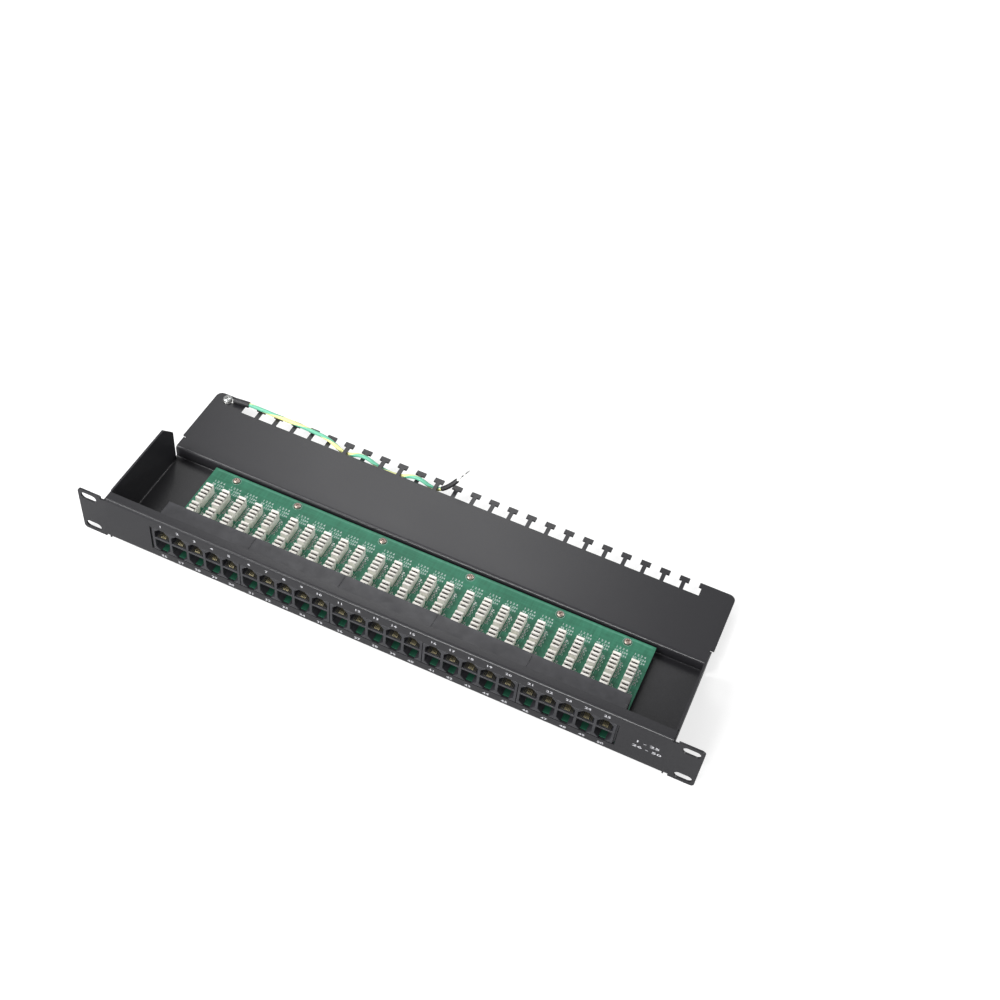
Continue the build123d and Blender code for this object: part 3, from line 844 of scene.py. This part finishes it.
@dataclass
class Sockets:
    """The ganged housings with what is inside each socket."""

    top: float = 15.5
    rear: float = 23.0
    end: float = 180.3
    upper_floor: float = 1.8
    lower_roof: float = 0.0
    pocket_rear: float = 13.5
    contact_pitch: float = 1.02
    wire_width: float = 0.45
    wire_thick: float = 0.32

    def build(self, finishes: Finishes) -> None:
        """Ease each housing's edges, and fill its sockets with contacts and their combs."""
        for gang in range(GANGS):
            number = gang + 1
            name = f"socket_housing_{number}"
            housing = eased_copy(f"jack_block_{number}", name, finishes.housing, 0.28 * MM)
            housing.modifiers["eased_edges"].angle_limit = math.radians(40)
            wires = [self.in_sockets(gang, self.contacts(row)) for row in Row]
            # these contacts carry a darkened gold colour that paints the shade inside the sockets
            spring = Shell.merged(wires).piece(f"spring_contacts_{number}", finishes.gold)
            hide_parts(f"jack_contacts_{number}")
            combs = [self.in_sockets(gang, self.comb(row)) for row in Row]
            Shell.merged(combs).piece(f"contact_combs_{number}", finishes.comb)
            self.rear_ribs(gang).piece(f"housing_ribs_{number}", finishes.housing)
        self.seams().piece("housing_seams", finishes.housing)
        low = (self.end - 0.2, 0.1, BOARD_TOP)
        end = bar_between(low, (self.end + 1.2, self.rear, self.top - 0.02), 0.15)
        end.piece("housing_end_cap", finishes.housing)

    def in_sockets(self, gang: int, shell: Shell) -> Shell:
        """Copies of a shell in the gang's five sockets of one row."""
        return shell.repeated(along_x(PORT_CENTRES[gang]))

    def wall(self, row: Row) -> float:
        """Height of the middle wall's side that a row's contacts spring from."""
        return self.upper_floor if row is Row.UPPER else self.lower_roof

    def contacts(self, row: Row) -> Shell:
        """Four spring wires: a flat section carried along a bent line in the plane of Y and Z."""
        front = [(0.2, 0.05), (0.6, 0.34), (1.6, 0.66), (5.0, 1.2)]
        line = np.array(front + [(9.0, 1.88), (12.4, 2.42), (13.5, 2.5)])
        along = directions(line)
        square = np.stack([-along[:, 1], along[:, 0]], -1)
        rings = np.zeros((len(line), 4, 3))
        for i, (x, t) in enumerate([(-1, -1), (1, -1), (1, 1), (-1, 1)]):
            rings[:, i, 0] = x * self.wire_width / 2
            rings[:, i, 1:] = line + square * t * self.wire_thick / 2 + (0, self.wire_thick / 2)
        rings[:, :, 2] = self.wall(row) + row.value * rings[:, :, 2]
        wire = Shell.along(rings)
        offsets = (np.arange(4) - 1.5) * self.contact_pitch
        return wire.repeated(along_x(offsets))

    def comb(self, row: Row) -> Shell:
        """The guide under and behind the contacts: a low bar, and nine ridges and fins between the lanes."""
        base = self.wall(row)
        low, high = sorted((base, base + row.value * 1.0))
        bar = bar_between((-4.6, 10.6, low), (4.6, self.pocket_rear + 0.05, high), 0.12)
        low, high = sorted((base, base + row.value * 0.7))
        groove = bar_between((-0.17, -0.4, low), (0.17, 9.3, high), 0.08)
        low, high = sorted((base, base + row.value * 3.3))
        fin = bar_between((-0.19, 9.2, low), (0.19, self.pocket_rear + 0.05, high), 0.08)
        fin = fin.joined(groove)
        offsets = (np.arange(9) - 4) * self.contact_pitch
        return bar.joined(fin.repeated(along_x(offsets)))

    def seams(self) -> Shell:
        """Tongues that close the gaps between neighbouring housings, just below their tops."""
        tongue = bar_between((-0.19, 1.0, BOARD_TOP + 0.1), (0.19, self.rear - 0.1, self.top - 0.02), 0.02)
        return tongue.repeated(along_x((GANG_CENTRES[:-1] + GANG_CENTRES[1:]) / 2))

    def rear_ribs(self, gang: int) -> Shell:
        """Low upright ribs on the housing's rear, two behind each socket."""
        rib = bar_between((-0.7, 22.9, BOARD_TOP + 0.05), (0.7, 23.9, 13.2), 0.25)
        xs = (PORT_CENTRES[gang][:, None] + np.array([-3.4, 3.4])).ravel()
        return rib.repeated(along_x(xs))


@dataclass
class PunchBlocks:
    """The punch-down blocks: five bars on a base, and a slit contact in each of the four slots."""

    half_width: float = 3.1
    height: float = 10.0
    web_depth: float = 2.4
    well_depth: float = 6.4

    def build(self, finishes: Finishes) -> None:
        """One piece for each column of two blocks, and one for the contacts of each gang."""
        block = self.block()
        blades = self.blades()
        for gang in range(GANGS):
            places = []
            for port, x in enumerate(PORT_CENTRES[gang]):
                number = gang * PORTS + port + 1
                shifts = np.array([(x, start, 0.0) for start in BLOCK_STARTS])
                made = block.repeated(shifts).piece(f"punch_pair_{number:02d}", finishes.block)
                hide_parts(f"idc_pair_{number:02d}")
                places.append(shifts)
            # the blades' dark finish stands for tinned contacts and also paints the shade deep in the slots
            blades.repeated(np.concatenate(places)).piece(f"slit_contacts_{gang + 1}", finishes.blade)

    def block(self) -> Shell:
        """One block: a cut-corner base, five bars with eased flat tops, and a web along each side."""
        top = BOARD_TOP + self.height
        floor = top - self.well_depth
        middle = np.array([0.0, BLOCK_LENGTH / 2, 0.0])
        half = BLOCK_LENGTH / 2
        base_levels = [(BOARD_TOP, 0.15), (BOARD_TOP + 0.25, 0.0), (floor - 0.2, 0.0), (floor, 0.2)]
        rings = [cut_corner_ring(self.half_width - i, half - i, 0.35, z) for z, i in base_levels]
        base = Shell.along(np.stack(rings) + middle)
        levels = [
            (floor - 0.3, 0.02, 0.0),
            (top - 0.5, 0.02, 0.0),
            (top - 0.12, 0.14, 0.05),
            (top, 0.3, 0.16),
        ]
        half_x, half_y = self.half_width, WAY_BAR / 2
        bar_rings = [cut_corner_ring(half_x - dx, half_y - dy, 0.16, z) for z, dx, dy in levels]
        bar = Shell.along(np.stack(bar_rings))
        steps = WAY_BAR / 2 + np.arange(WAYS + 1) * WAY_PITCH
        bars = bar.repeated(np.column_stack([np.zeros(5), steps, np.zeros(5)]))
        web_top = top - self.web_depth
        webs = [
            bar_between((x - 0.36, 0.5, floor - 0.3), (x + 0.36, BLOCK_LENGTH - 0.5, web_top), 0.15)
            for x in (0.4 - self.half_width, self.half_width - 0.4)
        ]
        return base.joined(bars, *webs)

    def blades(self) -> Shell:
        """Forked plates in the slots: an outline with a slit and a lead-in, carried through its thickness."""
        top = BOARD_TOP + self.height - 0.9
        foot = BOARD_TOP + self.height - self.well_depth - 0.2
        right = [(0.82, foot), (0.82, top - 0.5), (0.5, top), (0.13, top - 0.9), (0.13, foot + 0.5)]
        outline = np.array(right + [(-y, z) for y, z in reversed(right)])
        rings = np.stack([np.column_stack([np.full(10, x), outline]) for x in (-1.0, 1.0)])
        blade = Shell.along(rings)
        steps = FIRST_WAY + np.arange(WAYS) * WAY_PITCH
        places = [(x, y, 0.0) for y in steps for x in (-1.15, 1.15)]
        return blade.repeated(np.array(places))


@dataclass
class EarthLead:
    """The striped earth wire, its sleeves and lugs, and the screw that holds it to the plate."""

    screw_at: tuple[float, float] = (-209.5, 150.5)
    lug_thick: float = 0.8
    wire_r: float = 1.6
    sleeve_r: float = 2.4
    free_sleeve_r: float = 2.0
    wire_route: tuple[Point, ...] = (
        (-190.796, 152.400, -7.5),
        (-180.250, 152.5, -7.5),
        (-164.535, 152.3, -7.9),
        (-148.865, 152.4, -7.9),
        (-133.195, 151.5, -7.9),
        (-117.525, 149.6, -6.6),
        (-101.855, 147.4, -15.6),
        (-86.185, 147.0, -5.9),
        (-70.515, 147.3, -14.8),
        (-54.845, 147.0, -14.8),
        (-39.175, 147.0, -5.8),
        (-24.445, 148.0, -15.5),
        (-19.118, 149.15, -12.0),
    )
    sleeve_route: tuple[Point, ...] = (
        (-19.118, 149.15, -12.0),
        (-13.790, 150.3, -8.5),
        (-8.932, 155.0, -2.2),
    )
    fixed_route: tuple[Point, ...] = (
        (-204.028, 151.056, -7.5),
        (-190.796, 152.400, -7.5),
    )

    def build(self, finishes: Finishes) -> None:
        self.screw(finishes)
        wire_path = self.spline_points(self.wire_route, 24)
        free_path = self.spline_points(self.sleeve_route, 16)
        fixed_path = self.spline_points(self.fixed_route, 12)
        wire = self.wire(wire_path, finishes)
        free = self.sleeve(free_path, 1, self.free_sleeve_r).piece("free_sleeve", finishes.shrink)
        fixed = self.sleeve(fixed_path, 2, self.sleeve_r).piece("fixed_sleeve", finishes.shrink)
        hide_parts("earth_sleeve_free")
        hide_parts("earth_sleeve_fixed")
        fixed_lug = eased_copy("earth_lug_fixed", "fixed_ring_lug", finishes.tin, 0.12 * MM, 1)
        free_lug = eased_copy("earth_lug_free", "free_ring_lug", finishes.tin, 0.12 * MM, 1)

    def spline_points(self, route: tuple, resolution: int) -> np.ndarray:
        """Points of the smooth curve that has the route's points as its control points.

        Args:
            route: control points in millimetres.
            resolution: steps between two of them.

        Returns:
            Points along the curve, in millimetres.
        """
        curve = bpy.data.curves.new("route", "CURVE")
        curve.dimensions = "3D"
        curve.resolution_u = resolution
        spline = curve.splines.new("NURBS")
        spline.points.add(len(route) - 1)
        for point, place in zip(spline.points, route):
            point.co = (*place, 1.0)
        spline.order_u = 2 if len(route) == 2 else 3
        spline.use_endpoint_u = True
        points, _ = meshed(curve)
        keep = np.concatenate([[True], np.linalg.norm(np.diff(points, axis=0), axis=1) > 1e-4])
        return points[keep]

    def wire(self, path: np.ndarray, finishes: Finishes) -> Object:
        """The striped wire: a round tube along the path, its UV map round it and, in metres, along it."""
        sides = 20
        rings = tube_rings(path, np.full(len(path), self.wire_r), sides)
        shell = Shell.along(rings)
        made = shell.piece("earth_wire_striped", finishes.wire, 80)
        along = travelled(path) * MM
        mesh = made.data
        corners = read(mesh.loops, "vertex_index")
        round_share = (corners % sides) / sides
        starts = read(mesh.polygons, "loop_start")
        totals = read(mesh.polygons, "loop_total")
        owner = np.repeat(np.arange(len(totals)), totals)
        highest = np.maximum.reduceat(round_share, starts)[owner]
        # the last face round the tube spans the seam, so its low corners count as a full turn
        seam = (totals[owner] == 4) & (highest > 0.9) & (round_share < 0.1)
        layer = mesh.uv_layers.new(name="UVMap")
        uv = np.stack([np.where(seam, round_share + 1.0, round_share), along[corners // sides]], -1)
        layer.data.foreach_set("uv", uv.astype(np.float32).ravel())
        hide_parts("earth_wire")
        return made

    def sleeve(self, path: np.ndarray, seed: int, radius: float) -> Shell:
        """A shrunk sleeve: a tube whose radius swells over the crimp and wrinkles a little.

        The radius is R times 0.9 at the ends and 1.0 between them, less the size of a small sum
        of two sines along it.

        Args:
            path: its middle line.
            seed: picks where its wrinkles lie.
            radius: its radius over the crimp.

        Returns:
            The closed shell.
        """
        share = np.linspace(0.0, 1.0, 30)
        steps = travelled(path)
        fine = np.stack([np.interp(share * steps[-1], steps, path[:, k]) for k in range(3)], -1)
        ends = smooth_step(0.0, 0.06, share) * smooth_step(0.0, 0.06, 1.0 - share)
        wrinkles = 0.02 * np.sin(37.0 * share + seed) + 0.015 * np.sin(71.0 * share + 2.0 * seed)
        radii = radius * (0.9 + 0.1 * ends - np.abs(wrinkles))
        return Shell.along(tube_rings(fine, radii, 24))

    def screw(self, finishes: Finishes) -> None:
        """The earth screw on its lug, and the nut below the plate."""
        seat = PLATE_TOP + self.lug_thick
        form = ScrewForm(3.6, 2.5, 1.93, 7.0, pitch=0.7, recess_half=0.55, recess_depth=1.5)
        shell = form.shell(0.5).placed(np.eye(3), (*self.screw_at, seat))
        made = shell.piece("earth_screw_head", finishes.zinc, 50)
        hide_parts("earth_screw")
        eased_copy("earth_nut", "earth_hex_nut", finishes.zinc, 0.3 * MM)


@dataclass
class Studio:
    """The pale floor, the soft lights and the camera at the photograph's angle."""

    camera_at: Point = (233.57, -501.16, 806.16)
    look: Point = (-0.19388, 0.61683, -0.76285)
    up: Point = (-0.36261, 0.67748, 0.63995)
    focal: float = 49.85
    floor_z: float = -22.05
    floor_glow: float = 0.64

    def camera(self) -> None:
        """Stand the camera where the photograph was taken from."""
        data = bpy.data.cameras.new("camera")
        data.lens = self.focal
        data.sensor_width = 36.0
        data.clip_start = 0.01
        data.clip_end = 20.0
        made = linked("camera", data)
        back = -Vector(self.look).normalized()
        right = Vector(self.up).cross(back).normalized()
        up = back.cross(right)
        turn = Matrix((right, up, back)).transposed().to_4x4()
        made.matrix_world = Matrix.Translation(Vector(self.camera_at) * MM) @ turn
        bpy.context.scene.camera = made

    def floor(self) -> None:
        """A wide level sheet, white to the camera and pale to the light."""
        sheet = NodeSheet("pale_floor")
        sheet.set(Base_Color=(0.5, 0.5, 0.5, 1.0), Roughness=0.9, Specular_IOR_Level=0.1)
        sheet.set(Emission_Color=(1.0, 1.0, 1.0, 1.0))
        seen = sheet.node("LightPath")
        glow = sheet.math("MULTIPLY", seen.outputs["Is Camera Ray"], self.floor_glow)
        sheet.paint(glow, "Emission Strength")
        side = 6000.0
        corners = np.array([(-side, -side, 0), (side, -side, 0), (side, side, 0), (-side, side, 0)], float)
        mesh = bpy.data.meshes.new("floor")
        mesh.from_pydata(((corners + (0, 0, self.floor_z)) * MM).tolist(), [], [(0, 1, 2, 3)])
        mesh.materials.append(sheet.material)
        linked("floor", mesh)

    def lamp(self, name: str, place: tuple, target: tuple, size: tuple[float, float], power: float) -> None:
        """A soft light of a width and a height that faces a point, its place in metres."""
        data = bpy.data.lights.new(name, "AREA")
        data.shape = "RECTANGLE"
        data.size, data.size_y = size
        data.energy = power
        made = linked(name, data)
        turn = (Vector(target) - Vector(place)).to_track_quat("-Z", "Y")
        made.matrix_world = Matrix.Translation(place) @ turn.to_matrix().to_4x4()

    def lights(self) -> None:
        """Soft lights from the rear, the upper left and the right, a low strip in front, a pale world."""
        self.lamp("rear_top", (-0.42, 1.07, 1.25), (0, 0.1, 0), (0.7, 0.7), 5.0)
        self.lamp("upper_left", (-0.95, -0.55, 1.35), (0, 0.05, 0), (0.9, 0.9), 20.0)
        self.lamp("front_strip", (-0.12, -1.45, 0.70), (-0.12, 0, 0), (0.8, 0.15), 21.0)
        self.lamp("right_rear", (1.05, 0.8, 0.6), (0, 0.05, 0), (0.4, 0.4), 4.5)
        world = bpy.data.worlds.new("studio")
        world.use_nodes = True
        back = world.node_tree.nodes["Background"]
        back.inputs["Color"].default_value = (1.0, 1.0, 1.0, 1.0)
        back.inputs["Strength"].default_value = 0.37
        bpy.context.scene.world = world

    def build(self) -> None:
        """Set the stage and the plain view transform."""
        bpy.context.scene.view_settings.view_transform = "Standard"
        self.camera()
        self.floor()
        self.lights()


def main() -> None:
    """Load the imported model, dress it and write how large it has become."""
    logging.basicConfig(level=logging.INFO, format="%(message)s")
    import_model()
    finishes = Finishes()
    Studio().build()
    EarthLead().build(finishes)
    Chassis().build(finishes)
    CircuitBoard().build(finishes)
    Sockets().build(finishes)
    PunchBlocks().build(finishes)


if __name__ == "__main__":
    main()
